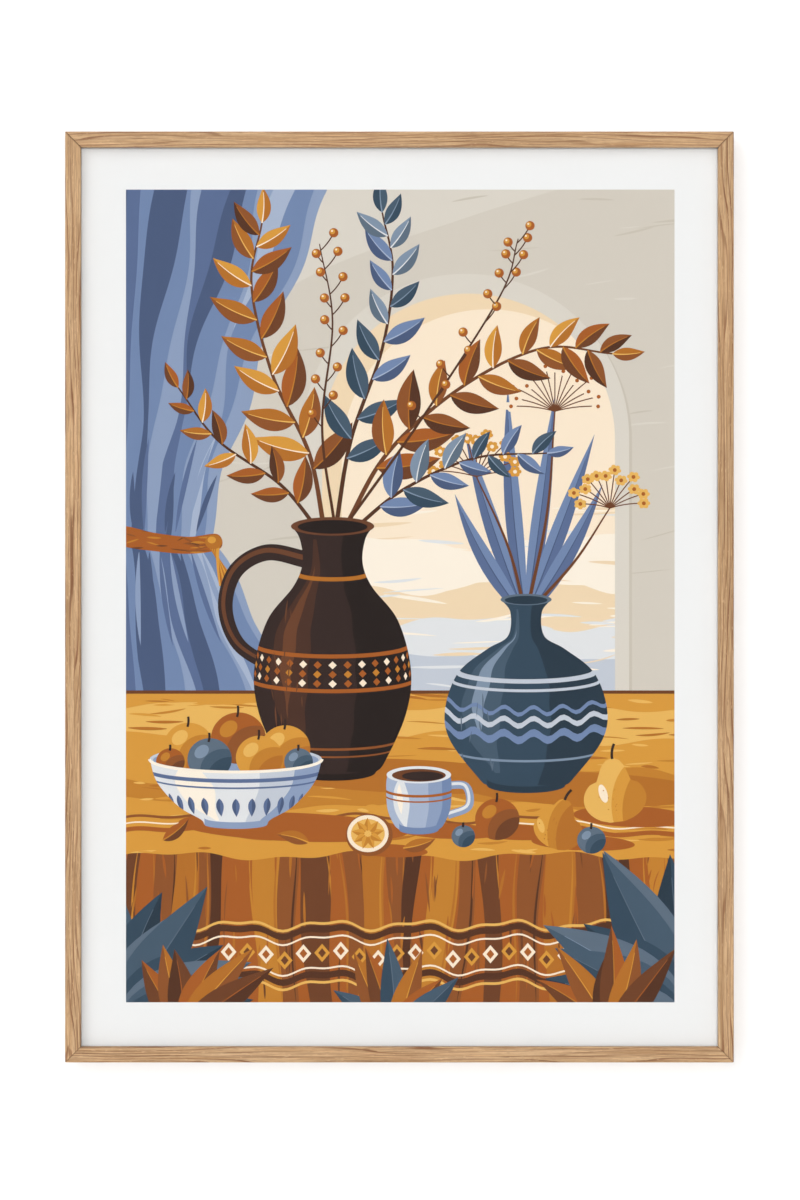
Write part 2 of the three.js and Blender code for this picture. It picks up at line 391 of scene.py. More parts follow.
inks = {
    "margin": "F4F4F4",
    "wall": "D5CDC1", "wallLight": "DCD5CA", "wallShade": "CBC2B4",
    "cream": "FBE8CF", "creamLight": "FDF1E0", "creamShade": "F1D8B4",
    "mist": "E3E4E6", "mistShade": "C5CBD6",
    "slatePale": "A9B6CE", "slateLight": "8E9FBE", "slateMid": "7388AE", "slate": "5B6D94",
    "slateDeep": "4A5A7C",
    "ochreLight": "E9B65E", "ochre": "D99A3C", "ochreDeep": "C4812C", "amber": "B56F25",
    "rust": "A85C22", "rustDeep": "8F5226", "umber": "6E3F22", "umberDeep": "54301C",
    "greyBlue": "5E6E7F", "greyBlueLight": "8193A8", "steel": "465A6C", "ink": "33485A", "inkDeep": "263745",
    "brown": "33231F", "brownWarm": "4A2E22", "brownLight": "6B4028", "black": "211613",
}

# radius and height pairs from foot to rim
profiles = {
    "jug": [(33, 0), (40, 8), (56, 44), (60, 78), (50, 116), (30, 142), (23, 160), (25, 178), (31, 188)],
    "vase": [(30, 0), (36, 5), (58, 34), (62, 58), (52, 86), (30, 104), (14, 114), (12, 132), (19, 142)],
    "bowl": [(24, 0), (27, 4), (44, 14), (60, 32), (66, 50)],
    "cup": [(15, 0), (19, 4), (24, 16), (25, 34), (24, 42)],
}

# each fruit's body, shade, deepest shade and light
fruitTones = {
    "orange": ("ochre", "ochreDeep", "amber", "ochreLight"),
    "pale": ("ochreLight", "ochre", "ochreDeep", "cream"),
    "red": ("rust", "rustDeep", "umber", "ochreDeep"),
    "blue": ("greyBlue", "steel", "ink", "greyBlueLight"),
}

# each leaf's light half, dark half and vein
leafTones = {
    "rusty": [("rust", "umber", "ochreDeep"), ("amber", "rustDeep", "ochreLight"),
              ("ochre", "amber", "cream"), ("rustDeep", "umberDeep", "amber")],
    "blue": [("greyBlueLight", "greyBlue", "mist"), ("steel", "ink", "greyBlueLight"),
             ("slateMid", "slateDeep", "slatePale")],
    "dark": [("steel", "ink", "greyBlue"), ("ink", "inkDeep", "greyBlue"),
             ("greyBlue", "steel", "greyBlueLight")],
    "dry": [("rust", "umber", "ochreDeep"), ("amber", "rustDeep", "ochre"), ("umber", "umberDeep", "rust")],
    "mixed": [("rust", "umber", "ochreDeep"), ("steel", "ink", "greyBlue"), ("amber", "rustDeep", "ochre")],
    "blade": [("slateMid", "slate", "slateDeep")],
}

shapes = []   # each: outline, ink, the shape that clips it or None
draw = np.random.default_rng(picture["seed"])


def paint(outline, ink, inside=None):
    # lays a shape over the earlier ones and gives its number, by which it can clip a later one
    shapes.append((np.asarray(outline, float), ink, inside))
    return len(shapes) - 1


def strip(one, two, ink, inside=None):
    # the area between two lines that run the same way
    return paint(np.vstack([one, two[::-1]]), ink, inside)


def track(x, y):
    # the line through x and y, either of which may be one number
    return np.column_stack(np.broadcast_arrays(x, y))


def below(x, y, ink, inside=None):
    # the area between a line and the picture's lower edge
    return paint(np.vstack([track(x, y), [(picture["width"], 0), (0, 0)]]), ink, inside)


def curve(points, steps=10, closed=False):
    # a smooth line through the points: from p1 to p2 it is half of
    # 2 p1 + (p2 - p0) t + (2 p0 - 5 p1 + 4 p2 - p3) t^2 + (3 p1 - p0 - 3 p2 + p3) t^3
    p = np.asarray(points, float)
    p = np.vstack([p[-1:], p, p[:2]]) if closed else np.vstack([2 * p[:1] - p[1:2], p, 2 * p[-1:] - p[-2:-1]])
    t = np.arange(steps)[None, :, None] / steps
    a, b, c, d = (p[k:len(p) - 3 + k, None, :] for k in range(4))
    spans = 0.5 * (2 * b + (c - a) * t + (2 * a - 5 * b + 4 * c - d) * t**2 + (3 * b - a - 3 * c + d) * t**3)
    line = spans.reshape(-1, 2)
    return line if closed else np.vstack([line, p[-2:-1]])


def box(x0, y0, x1, y1):
    # the corners of a rectangle, from the lower left one
    return np.array([(x0, y0), (x1, y0), (x1, y1), (x0, y1)], float)


def diamond(x, y, wide, tall):
    # four corners at these distances from the middle
    return np.array([(x - wide, y), (x, y - tall), (x + wide, y), (x, y + tall)])


def oval(x, y, rx, ry=None, turn=0.0, count=40, start=0.0, end=2 * np.pi):
    # an ellipse or a part of one, turned about its middle
    ry = rx if ry is None else ry
    a = np.linspace(start, end, count, endpoint=abs(end - start) < 6.28)
    u, v = rx * np.cos(a), ry * np.sin(a)
    return np.column_stack([x + u * np.cos(turn) - v * np.sin(turn), y + u * np.sin(turn) + v * np.cos(turn)])


def ribbon(line, half, ink, inside=None):
    # both sides of a line, at the distance half along its normals
    along = np.gradient(line, axis=0)
    along /= np.linalg.norm(along, axis=1)[:, None] + 1e-9
    across = np.column_stack([-along[:, 1], along[:, 0]]) * np.broadcast_to(half, len(line))[:, None]
    return strip(line + across, line - across, ink, inside)


def arcLine(base, angle, length, bend, count=12):
    # a line whose direction turns by bend from its root to its tip
    turn = angle + bend * np.linspace(0, 1, count)
    step = length / (count - 1)
    x = base[0] + np.concatenate([[0], np.cumsum(np.cos(turn[:-1]) * step)])
    y = base[1] + np.concatenate([[0], np.cumsum(np.sin(turn[:-1]) * step)])
    return np.column_stack([x, y])


def swell(count, start, end, power=1.0):
    # a ribbon's half width as a sine of its length
    return np.sin(np.pi * np.linspace(start, end, count)) ** power


def leaf(base, angle, length, width, bend, tones, inside=None, sharp=0.8):
    # a bent blade whose half width is sin(pi t^sharp), with its lower half in the dark tone
    line = arcLine(base, angle, length, bend, 15)
    t = np.linspace(0, 1, len(line))
    half = width / 2 * np.sin(np.pi * t**sharp)
    ribbon(line, half, tones[0], inside)
    along = np.gradient(line, axis=0)
    along /= np.linalg.norm(along, axis=1)[:, None]
    side = np.column_stack([along[:, 1], -along[:, 0]])
    if side[len(side) // 2, 1] > 0:
        side = -side
    strip(line, line + side * half[:, None], tones[1], inside)
    if tones[2]:
        ribbon(line[:-2], np.linspace(0.55, 0.2, len(line) - 2), tones[2], inside)


def strokes(region, count, area, tones, length, thick, angle=0.0, spread=0.15):
    # tapered brush strokes scattered over the area, cut off at the region's edge
    x0, y0, x1, y1 = area
    for _ in range(count):
        size = draw.uniform(*length)
        line = arcLine((draw.uniform(x0, x1), draw.uniform(y0, y1)), angle + draw.normal(0, spread), size,
                       draw.normal(0, 0.12), 7)
        half = draw.uniform(*thick) * swell(7, 0.03, 0.97, 0.7)
        ribbon(line, half, tones[draw.integers(len(tones))], region)


def castShadow(x, y, rx, ry, region, ink, reach=1.7):
    # an oval on the table, drawn out to the right
    paint(oval(x + rx * (reach - 1), y, rx * reach, ry, -0.04), ink, region)


def radiusAt(name, height):
    # a vessel's radius at a height above its foot
    side = curve(profiles[name])
    return np.interp(height, side[:, 1], side[:, 0])


def vessel(name, tones, flat=0.2, mouth=None, hollow=None):
    # a turned body: its profile on both sides of a bowed foot, and upright strips between two shares of its
    # radius that shade it. tones: body, light, lightest, shade, deepest. flat: an ellipse's height by its
    # width. hollow: the share of its radius by which the rim's front bows down
    x, base = picture[name]
    side = curve(profiles[name])
    r, h = side.T
    foot = oval(x, base, r[0], r[0] * flat, count=20, start=np.pi)
    right, left = track(x + r, base + h), track(x - r, base + h)
    rim = oval(x, base + h[-1], r[-1], r[-1] * hollow, count=30, end=-np.pi)[1:-1] if hollow else right[:0]
    body = paint(np.vstack([foot, right[1:], rim, left[::-1][:-1]]), tones[0])
    strips = ((0.30, 1.3, 3, 0.0, 1.0, 0.0), (0.72, 1.3, 4, 0.0, 1.0, 0.0),
              (-0.80, -0.30, 1, 0.05, 0.95, 0.8), (-0.68, -0.50, 2, 0.25, 0.85, 1.0))
    for a, b, tone, lowest, highest, taper in strips:
        keep = (h >= h.max() * lowest) & (h <= h.max() * highest)
        t = (h[keep] - h[keep].min()) / max(np.ptp(h[keep]), 1e-6)
        mid, span = (a + b) / 2, (b - a) / 2 * (1 - taper * (2 * t - 1) ** 2)
        sway = 0.012 * np.sin(h[keep] * 0.21 + x)
        strip(track(x + r[keep] * (mid - span + sway), base + h[keep]),
              track(x + r[keep] * (mid + span + sway), base + h[keep]), tones[tone], body)
    strip(foot + (0, 5), foot - (0, 6), tones[4], body)
    if mouth:
        top = base + h[-1]
        rings = ((0, 0, 1.03, 1.15), (0, 0.4, 0.86, 0.85), (0.12, 1.0, 0.66, 0.62))
        for (aside, down, wide, tall), ink in zip(rings, mouth):
            paint(oval(x + r[-1] * aside, top - down, r[-1] * wide, r[-1] * flat * tall), ink)
    return body


def bandsRound(name, body, flat, *bands):
    # painted bands round a vessel, each between two heights, bowed down as seen from above, waved by a sine
    x, base = picture[name]
    a = np.linspace(-1, 1, 41)
    bow = np.sqrt(np.clip(1 - a**2, 0, 1))
    for lowest, highest, ink, *wave in bands:
        edges = []
        for height in (lowest, highest):
            r = radiusAt(name, height)
            edges.append(track(x + 1.05 * r * a, base + height - flat * r * bow + sum(wave) * np.sin(18 * a)))
        strip(*edges, ink, body)


def fruit(x, y, r, tone):
    # a ball with two shades that slip off it to the lower right, a light and a stalk
    tones = fruitTones[tone]
    body = paint(oval(x, y, r, r * 0.94), tones[0])
    paint(oval(x + r * 0.62, y - r * 0.52, r * 1.05, r * 0.98), tones[1], body)
    paint(oval(x + r * 0.95, y - r * 0.85, r * 1.05, r * 0.95), tones[2], body)
    paint(oval(x - r * 0.36, y + r * 0.34, r * 0.36, r * 0.26, 0.7), tones[3], body)
    ribbon(arcLine((x - r * 0.05, y + r * 0.94 * 0.82), 1.3, r * 0.42, 0.5, 6), 0.9, "brown")


def background():
    # a plain wall with one large patch of light
    w, h = picture["width"], picture["height"]
    wall = paint(box(0, 0, w, h), "wall")
    paint(curve([(0, h), (0, 470), (60, 505), (150, 560), (260, 600), (330, h)], 12), "wallLight", wall)
    strokes(wall, 70, (0, 240, w, h), ("wallLight", "wallShade"), (14, 46), (0.4, 1.0), 0.12, 0.1)


def archAndShelf():
    # an arch with a far landscape in it: bands whose upper edges are sums of two sines
    x, sill, spring, half = picture["arch"]

    def archLine(grow):
        return np.vstack([box(x - half - grow, sill, x + half + grow, sill + 1)[:2],
                          oval(x, spring, half + grow, end=np.pi, count=60)])
    paint(archLine(13), "wallShade")
    paint(archLine(13) + (-2.2, 2.2), "wallLight")
    arch = paint(archLine(0), "cream")
    # the reveal's shade on the left and top
    reveal = [oval(x, spring, half + 1, end=np.pi, count=60),
              [(x - half - 1, sill - 1), (x - half + 15, sill - 1)],
              oval(x + 15, spring - 12, half, start=np.pi, end=0, count=60),
              [(x + half + 15, sill - 1), (x + half + 1, sill - 1)]]
    paint(np.vstack(reveal), "creamShade", arch)
    t = np.linspace(0, 1, 40)
    for y0, ink, phase in ((352, "creamLight", 0.4), (318, "creamShade", 2.1), (290, "mist", 3.7),
                           (262, "mistShade", 5.0)):
        y = y0 + 5 * np.sin(2 * np.pi * t * 1.3 + phase) + 2.4 * np.sin(2 * np.pi * t * 3.1 + 2 * phase)
        paint(np.vstack([track(x - half + 2 * half * t, y), [(x + half, sill), (x - half, sill)]]), ink, arch)
    strokes(arch, 60, (x - half, 240, x + half, 380), ("creamLight", "mist", "creamShade"), (20, 60),
            (0.5, 1.6), 0.0, 0.05)


def drapery():
    # the cloth's right edge at each height is a power of the distance from the tie, which gathers it. Its
    # folds divide it in fixed shares and sway by a sine.
    y = np.linspace(625, 200, 90)
    tie = picture["drapeTie"]
    edge = 66 + 92 * np.clip((y - tie) / 270, 0, 1) ** 1.35 + 74 * np.clip((tie - y) / 150, 0, 1) ** 0.8
    edge = edge + 4 * np.sin(y / 17.0) * np.clip(abs(y - tie) / 60, 0, 1)
    start = -14.0
    cloth = paint(np.vstack([track(edge, y), [(start, 200), (start, 625)]]), "slate")
    marks = [0.0, 0.09, 0.15, 0.22, 0.33, 0.38, 0.46, 0.55, 0.60, 0.70, 0.78, 0.83, 0.92, 1.02]
    tones = ["slateDeep", "slate", "slateMid", "slateDeep", "slateMid", "slateLight", "slate", "slateDeep",
             "slateMid", "slateLight", "slatePale", "slateMid", "slateLight"]

    def fold(u, k):
        sway = 5.5 * np.sin(y / 46.0 + 1.7 * k) * np.clip(abs(y - tie) / 90, 0, 1)
        return track(start + (edge - start) * u + sway * (0.15 < u < 0.98), y)
    for k, tone in enumerate(tones):
        strip(fold(marks[k], k), fold(marks[k + 1], k + 1), tone, cloth)
    # short creases that fan out of the tie, up and down in turn
    for k in range(14):
        up, u = (1 if k % 2 == 0 else -1), (k + 0.5) / 14
        line = arcLine((4 + 56 * u, tie + 8 * up), up * (np.pi / 2 + (0.10 - 0.42 * u)),
                       46 + 34 * np.sin(2.1 * k) ** 2, -0.16 * up, 12)
        ribbon(line, 2.0 * swell(12, 0.02, 1, 0.8), ("slateDeep", "slateLight", "slate")[k % 3], cloth)
    band = [(-4, 364), (22, 359), (48, 356), (70, 358), (72, 347), (50, 343), (22, 345), (-4, 350)]
    knot = paint(curve(band, 8, True), "rust")
    strokes(knot, 26, (-4, 343, 72, 364), ("rustDeep", "ochreDeep", "umber"), (6, 16), (0.4, 0.9), 0.0, 0.2)
    for k in range(9):
        line = arcLine((64 + 0.8 * k, 350), -1.35 - 0.07 * (k - 4), 34 + 5 * np.sin(2.3 * k), 0.25, 10)
        ribbon(line, np.linspace(1.3, 0.7, 10), ("ochreDeep", "rust", "ochre")[k % 3])
    paint(oval(67, 352, 6.5, 5.5), "amber")
    paint(oval(65.6, 353.6, 3.2, 2.6), "ochre")


def table():
    # the cloth's top in waved bands, woven stripes along its front edge, and the drop below that edge
    w, back, front = picture["width"], picture["tableBack"], picture["tableFront"]
    x = w * np.linspace(0, 1, 120)
    edge = front + 2.5 * np.sin(x / 23.0) + 1.5 * np.sin(x / 9.0 + 1)
    paint(box(0, back - 6, w, back + 2.5), "umber")
    top = below(x, back, "ochre")
    for y0, ink, wave in ((back - 10, "ochreLight", 3), (back - 34, "ochre", 4), (back - 62, "ochreDeep", 5),
                          (back - 84, "ochre", 4)):
        below(x, y0 + wave * np.sin(x / 37.0 + y0) + 0.5 * wave * np.sin(x / 13.0 + 2 * y0), ink, top)
    strokes(top, 230, (0, front, w, back), ("ochreLight", "ochreDeep", "amber", "ochre"), (8, 34), (0.4, 1.3),
            0.0, 0.06)
    for lift, thick, ink in ((17, 3.4, "rust"), (23, 1.1, "cream"), (27.5, 2.0, "rustDeep")):
        strip(track(x, edge + lift), track(x, edge + lift + thick), ink, top)
    drop = below(x, edge, "rust")
    return top, drop, x


def clothDrop(drop, x):
    # leaning folds of drawn widths, then stripes and diamonds that follow a sum of two sines
    w = picture["width"]
    y = np.linspace(1, 0, 24)
    folds = np.cumsum(draw.uniform(9, 24, 40))
    folds = folds[folds < w + 25]
    last = -5.0
    tones = ("umber", "rust", "rustDeep", "amber", "rustDeep", "umberDeep", "rust", "ochreDeep", "rustDeep")
    for k, place in enumerate(folds):
        lean = draw.uniform(-16, 16)
        a = last + (1 - y) * lean * 0.6 + 2.2 * np.sin(5 * y + k)
        b = place + (1 - y) * lean + 2.2 * np.sin(5 * y + k + 1)
        heights = y * (picture["tableFront"] + 6)
        strip(track(a, heights), track(b, heights), tones[k % len(tones)], drop)
        pale = ("ochreDeep", "amber", "umberDeep")[k % 3]
        ribbon(track(b - 2.4, heights), 0.9 * swell(24, 0.05, 0.95), pale, drop)
        last = place
    strokes(drop, 90, (0, 0, w, 112), ("umber", "rustDeep", "amber", "rust"), (12, 34), (0.4, 1.1),
            np.pi / 2, 0.08)
    wave = 3.0 * np.sin(x / 11.0) + 1.6 * np.sin(x / 5.3 + 1)
    for y0, thick, ink in ((58, 2.0, "ochreLight"), (52, 5.0, "umberDeep"), (47.5, 1.4, "cream"),
                           (24, 1.4, "cream"), (17, 5.0, "umberDeep"), (13, 2.0, "ochreLight")):
        strip(track(x, y0 + wave), track(x, y0 + wave + thick), ink, drop)
    for k in range(30):
        cx = 7 + 14.3 * k
        cy = 36.5 + np.interp(cx, x, wave)
        paint(diamond(cx, cy, 6, 7), ("ochre", "cream")[k % 2], drop)
        paint(diamond(cx, cy, 3, 3.6), ("umber", "rust")[k % 2], drop)


def stem(points, half, ink):
    # a ribbon along a curve that thins to about a third
    line = curve(points, 12)
    ribbon(line, np.linspace(half, half * 0.35, len(line)), ink)
    return line


def leafyStem(points, half, ink, count, size, tone):
    # leaves on both sides in turn, smaller towards the tip, the last one straight ahead
    line = stem(points, half, ink)
    tones = leafTones[tone]
    for k, place in enumerate(np.linspace(0.2, 1.0, count)):
        i = place * (len(line) - 1)
        at = np.array([np.interp(i, np.arange(len(line)), line[:, axis]) for axis in (0, 1)])
        j = min(int(i), len(line) - 2)
        heading = np.arctan2(*(line[j + 1] - line[j])[::-1])
        side = 1 if k % 2 else -1
        turn = 0.0 if k == count - 1 else side * (0.95 + draw.uniform(-0.18, 0.18))
        long = size * (1.12 - 0.5 * place) * draw.uniform(0.85, 1.1)
        leaf(at, heading + turn, long, long * 0.40, -side * 0.35, tones[draw.integers(len(tones))])


def berrySpray(points):
    # bent twigs on both sides in turn, each with a berry that has a light and a glint
    line = stem(points, 1.2, "umberDeep")
    for k in range(14):
        i = int((0.35 + 0.64 * k / 13) * (len(line) - 1))
        side = 1 if k % 2 else -1
        twig = arcLine(line[i], np.pi / 2 - side * 0.8, 13 + 4 * np.sin(3 * k), side * 0.4, 6)
        ribbon(twig, 0.5, "umberDeep")
        x, y = twig[-1]
        paint(oval(x, y, 3.6, count=20), "rust")
        paint(oval(x - 0.9, y + 0.9, 2.0, count=16), "ochre")
        paint(oval(x - 1.3, y + 1.4, 0.8, count=12), "cream")


def handleOf(points, wide, ink, shift, narrow, light):
    # a ribbon along a curve, with a narrower light one beside its middle
    handle = curve(points)
    for line, half, tone in ((handle, wide, ink), (handle + shift, narrow, light)):
        ribbon(line, np.linspace(*half, len(handle)), tone)


def jugAndBranches():
    # branches first, then the jug that hides their roots
    x, base = picture["jug"]
    leafyStem([(152, 360), (140, 420), (112, 480), (96, 548), (104, 596)], 1.9, "umber", 17, 46, "rusty")
    leafyStem([(160, 360), (172, 430), (196, 500), (204, 560), (196, 604)], 1.8, "umberDeep", 16, 42, "blue")
    leafyStem([(166, 360), (200, 420), (256, 470), (318, 500), (372, 496)], 1.9, "umber", 19, 46, "rusty")
    leafyStem([(170, 358), (212, 392), (266, 416), (322, 420)], 1.6, "umberDeep", 13, 36, "blue")
    leafyStem([(148, 360), (118, 396), (70, 430), (40, 470)], 1.6, "umberDeep", 12, 34, "rusty")
    berrySpray([(160, 362), (150, 440), (158, 520), (148, 580)])
    berrySpray([(166, 362), (226, 446), (286, 540), (300, 584)])
    handleOf([(140, 338), (108, 344), (84, 330), (76, 302), (86, 274), (112, 256)], (6.5, 5.0), "brown",
             (-1.6, 1.6), (2.0, 1.2), "brownLight")
    body = vessel("jug", ("brown", "brownWarm", "brownLight", "black", "black"), 0.2,
                  ("brownLight", "black", "black"))
    bandsRound("jug", body, 0.16, (96, 99, "rust"), (70, 73, "rust"))
    # three rows of diamonds, narrower towards the sides
    for k in range(15):
        a = -0.96 + 1.92 * k / 14
        for row, height in enumerate((91, 84, 77)):
            r = radiusAt("jug", height)
            ink = ("cream", "ochreDeep", "cream")[row] if (k + row) % 2 else "rust"
            paint(diamond(x + r * np.sin(a * 1.45), base + height - 0.16 * r * np.cos(a * 1.45),
                          3.0 * np.cos(a * 1.40) + 0.2, 3.0), ink, body)
    bandsRound("jug", body, 0.16, (150, 153, "amber"), (24, 26, "rustDeep"), (18, 19.4, "rustDeep"))
    strokes(body, 12, (x - 50, base + 30, x - 22, base + 120), ("brownLight",), (8, 18), (0.3, 0.6),
            np.pi / 2, 0.12)


def umbel(root, tip, r, spokes, dot, seedTone):
    # a seed head: bent spokes in a fan, each with a ring of six dots round a seed
    stem([root, ((root[0] + tip[0]) / 2 + 5, (root[1] + tip[1]) / 2), tip], 1.5, "umber")
    for k in range(spokes):
        a = np.pi * (k + 0.5) / spokes
        reach = r * (0.88 + 0.12 * np.sin(2.7 * k))
        spoke = arcLine(tip, np.pi / 2 + (a - np.pi / 2) * 0.9, reach, 0.35 * (a / np.pi - 0.5) * 2, 8)
        ribbon(spoke, 0.45, "umber")
        x, y = spoke[-1]
        for m in range(6):
            b = 2 * np.pi * m / 6 + k
            paint(oval(x + 3.1 * np.cos(b), y + 2.6 * np.sin(b), 1.9, 1.6, count=12), dot)
        paint(oval(x, y, 1.5, count=12), seedTone)


def vaseAndSeedHeads():
    # long blades and three seed heads behind a vase with waved bands
    x, base = picture["vase"]
    blades = ((1.95, 150), (1.72, 178), (1.42, 170), (1.2, 150), (0.95, 118), (2.25, 110))
    for k, (angle, long) in enumerate(blades):
        leaf((x, base + 128), angle, long, 13, 0.35 * (1.57 - angle) - 0.1 * (k % 2), leafTones["blade"][0])
    for tip, r, spokes, dot, seedTone in (((x - 38, base + 236), 34, 13, "ochre", "cream"),
                                          ((x + 22, base + 286), 38, 15, "cream", "rust"),
                                          ((x + 64, base + 212), 30, 12, "ochreLight", "rust")):
        umbel((x, base + 130), tip, r, spokes, dot, seedTone)
    body = vessel("vase", ("ink", "steel", "greyBlueLight", "inkDeep", "inkDeep"), 0.2,
                  ("greyBlue", "inkDeep", "inkDeep"))
    bandsRound("vase", body, 0.16, (86, 89, "mistShade"), (80, 82, "mistShade"), (26, 28, "greyBlueLight"),
               (44, 50, "slateMid", 3.0), (56, 60, "mistShade", 3.0), (65, 68, "slateMid", 3.0))
    strokes(body, 10, (x - 50, base + 10, x - 22, base + 80), ("greyBlue",), (6, 14), (0.3, 0.6),
            np.pi / 2, 0.12)


def bowlAndFruit(top):
    # the bowl's far rim, the fruit in it, then its front
    x, base = picture["bowl"]
    castShadow(x + 8, base - 2, 52, 11, top, "rust")
    paint(oval(x, base + 50, 66, 10), "mistShade")
    paint(oval(x, base + 49.4, 63.4, 8.4), "slateLight")
    for aside, y, r, tone in ((-36, 196, 19, "orange"), (2, 202, 21, "red"), (38, 194, 19, "orange"),
                              (-20, 186, 17, "blue"), (18, 187, 18, "orange"), (48, 184, 11, "blue"),
                              (-50, 184, 11, "red")):
        fruit(x + aside, y, r, tone)
    body = vessel("bowl", ("mist", "creamLight", "creamLight", "mistShade", "slateLight"), 0.14, hollow=0.15)
    bandsRound("bowl", body, 0.13, (40, 43, "slate"), (35, 36.4, "slate"))
    # a row of blades that turn with the bowl's side
    r = radiusAt("bowl", 27)
    for k in range(13):
        a = (-0.97 + 1.94 * k / 12) * 1.4
        at = (x + r * np.sin(a), base + 27 - 0.13 * r * np.cos(a))
        wide = 5.5 * np.cos(a * 0.95) + 0.4
        leaf(at, -np.pi / 2 - 0.35 * np.sin(a), 14, wide, 0.1, ("slate", "slateDeep", None), body)
    ribbon(oval(x, base + 50, 66, 9.9, start=np.pi), 1.1, "creamLight")


def cup(top):
    # a banded cup with its handle on the right
    x, base = picture["cup"]
    castShadow(x + 5, base - 1, 22, 6, top, "rust", 1.8)
    handleOf([(x + 21, base + 34), (x + 36, base + 33), (x + 38, base + 18), (x + 22, base + 11)], (3.0, 3.0),
             "slateLight", (-0.8, 0.9), (1.1, 1.1), "mist")
    body = vessel("cup", ("slatePale", "mist", "creamLight", "slateLight", "slateMid"), 0.24,
                  ("mist", "umber", "brown"))
    bandsRound("cup", body, 0.22, (30, 32, "rust"), (26, 27.2, "rust"))


def pear(x, y, size, tone, lean):
    # half width: a large ball low down, 1 - ((t - 0.36) / 0.37)^2 under a root, that runs into a small one
    tones = fruitTones[tone]
    line = arcLine((x, y), np.pi / 2 + lean, size * 2.05, -lean * 0.6, 26)
    t = np.linspace(0, 1, 26)
    ball = size * np.sqrt(np.clip(1 - ((t - 0.36) / 0.37) ** 2, 0, 1)) * (t < 0.62)
    crown = np.sqrt(np.clip(1 - np.clip((t - 0.82) / 0.18, 0, 1) ** 2, 0, 1))
    neck = size * (0.70 - 0.36 * np.clip((t - 0.5) / 0.42, 0, 1) ** 0.8) * crown
    body = ribbon(line, np.maximum(ball, neck * (t > 0.45)), tones[0])
    paint(oval(x + size * 0.80, y + size * 0.55, size * 1.0, size * 1.5), tones[1], body)
    paint(oval(x + size * 1.15, y + size * 0.35, size * 1.0, size * 1.5), tones[2], body)
    paint(oval(x - size * 0.46, y + size * 0.90, size * 0.13, size * 0.30, 0.3), tones[3], body)
    ribbon(arcLine(line[-1] - (0, 1), np.pi / 2 + lean, size * 0.5, -0.6, 6), 1.0, "brown")
    for _ in range(12):
        speck = oval(x + draw.uniform(-0.6, 0.5) * size, y + draw.uniform(0.3, 1.2) * size, 0.5, count=8)
        paint(speck, tones[2], body)


def looseFruit(top):
    # two pears, small fruit and a halved one on the table
    castShadow(372, 142, 30, 8, top, "rust", 1.5)
    pear(376, 138, 24, "pale", 0.12)
    castShadow(284, 130, 18, 6, top, "rust", 1.8)
    fruit(284, 140, 17, "red")
    castShadow(332, 122, 22, 6, top, "rust", 1.8)
    pear(326, 118, 19, "orange", -0.35)
    fruit(356, 124, 11, "blue")
    fruit(258, 127, 9, "blue")
    # a halved fruit, its cut side to the viewer
    x, y, r = picture["halfFruit"]
    castShadow(x + 4, y - 12, 17, 5, top, "rust")
    paint(oval(x, y, r, r * 0.9), "rustDeep")
    face = paint(oval(x - 1, y + 1, r * 0.88, r * 0.79), "cream")
    paint(oval(x - 1, y + 1, r * 0.72, r * 0.62), "ochreLight", face)
    for k in range(9):
        a = 2 * np.pi * k / 9 + 0.2
        at = (x - 1 + 2.5 * np.cos(a), y + 1 + 2.2 * np.sin(a))
        leaf(at, a, r * 0.56, 5.6, 0, ("ochre", "ochreDeep", None), face, 0.55)


def foreground():
    # fans of broad leaves: root, first and last angle, count, length, width by length and tones
    fans = (((-6, -14), 1.62, 0.10, 8, 118, 0.34, "dark"), ((44, -20), 2.2, 0.6, 6, 76, 0.30, "dry"),
            ((428, -12), 1.50, 3.02, 9, 132, 0.34, "dark"), ((372, -22), 2.4, 0.9, 6, 74, 0.30, "dry"),
            ((206, -26), 2.7, 0.45, 9, 70, 0.30, "mixed"))
    for root, first, last, count, long, wide, tone in fans:
        for k, angle in enumerate(np.linspace(first, last, count)):
            tones = leafTones[tone][k % len(leafTones[tone])]
            size, bend = long * draw.uniform(0.8, 1.1), draw.uniform(-0.35, 0.35)
            leaf(root, angle, size, long * wide, bend, tones, None, 0.7)
    for x, y, angle, k in ((28, 124, 0.5, 0), (140, 122, 2.7, 1), (212, 118, 0.1, 1)):
        leaf((x, y), angle, 26, 10, 0.4, leafTones["dry"][k])


def wholePicture():
    # from the back to the front
    background()
    archAndShelf()
    drapery()
    top, drop, x = table()
    clothDrop(drop, x)
    castShadow(166, 173, 62, 13, top, "amber", 1.75)
    castShadow(314, 163, 60, 13, top, "amber", 1.6)
    vaseAndSeedHeads()
    jugAndBranches()
    bowlAndFruit(top)
    cup(top)
    looseFruit(top)
    foreground()


# From painted shapes to a flat mesh

sheet = {
    "pictureShift": (0.6, 0.8),   # mm from the sheet's middle
    "weld": 4e-3,                 # mm: outlines that pass this close share a point
    "lightOnPrint": 1.10,         # the scene's light on the print, which its inks allow for
    "toothSize": 0.45,            # mm
    "toothDepth": 0.03 * mm,
}


def insideOf(points, outline):
    # inside where the edges that pass a point's right side going up and going down differ in number
    x, y = points[:, :1], points[:, 1:]
    a, b = outline, np.roll(outline, -1, axis=0)
    rise = np.where(a[:, 1] == b[:, 1], 1.0, b[:, 1] - a[:, 1])
    right = x < a[:, 0] + (b[:, 0] - a[:, 0]) * (y - a[:, 1]) / rise
    up = (a[:, 1] <= y) & (b[:, 1] > y) & right
    down = (b[:, 1] <= y) & (a[:, 1] > y) & right
    return up.sum(1) != down.sum(1)


